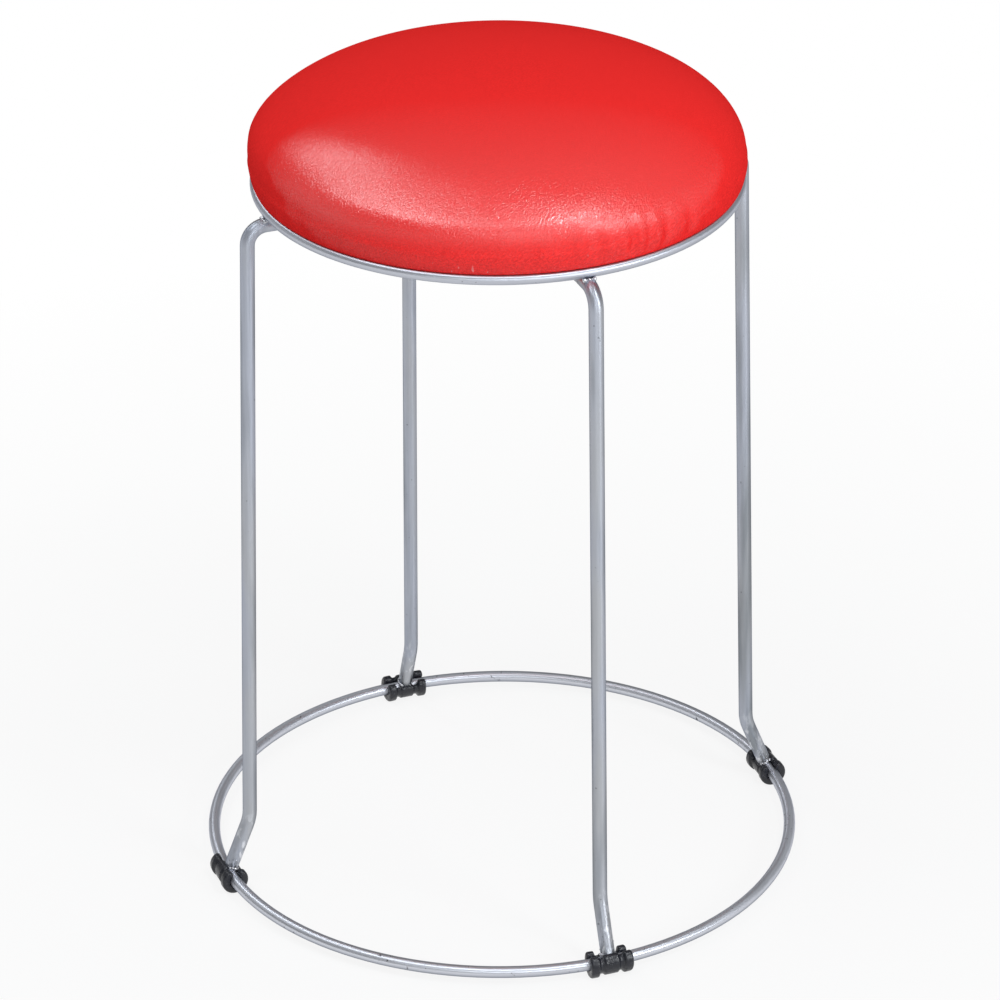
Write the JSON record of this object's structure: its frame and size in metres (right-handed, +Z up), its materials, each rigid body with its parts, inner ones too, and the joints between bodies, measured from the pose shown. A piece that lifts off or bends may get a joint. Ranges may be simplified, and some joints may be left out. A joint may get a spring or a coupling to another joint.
{
  "type": "stool",
  "caption": "Round backless stool: a domed vinyl pad set in a plated wire hoop, on bent steel rod legs tied by a base ring that stands on clip-on plastic feet.",
  "frame": {"origin": "on the floor, under the middle of the seat", "axes": "+Z up; front along -Y, with +X to the right, so the legs stand on the diagonals"},
  "size_m": [0.3364, 0.3364, 0.474],
  "materials": {
    "vinyl": "gloss",
    "foam": "matte",
    "plywood": "matte",
    "staple_wire": "satin",
    "screw_steel": "satin",
    "plated_steel": "polished",
    "weld_metal": "satin",
    "clip_plastic": "satin"
  },
  "bodies": {
    "root": {"seat_cover": "vinyl", "seat_foam": "foam", "seat_board": "plywood", "cover_staples": "staple_wire", "seat_screws": "screw_steel", "seat_ring": "plated_steel", "base_ring": "plated_steel", "leg_front_right": "plated_steel", "leg_back_right": "plated_steel", "leg_back_left": "plated_steel", "leg_front_left": "plated_steel", "ring_weld_front_right": "weld_metal", "ring_weld_back_right": "weld_metal", "ring_weld_back_left": "weld_metal", "ring_weld_front_left": "weld_metal", "foot_weld_front_right": "weld_metal", "foot_weld_back_right": "weld_metal", "foot_weld_back_left": "weld_metal", "foot_weld_front_left": "weld_metal", "foot_clip_front_right": "clip_plastic", "foot_clip_back_right": "clip_plastic", "foot_clip_back_left": "clip_plastic", "foot_clip_front_left": "clip_plastic"}
  },
  "joints": []
}
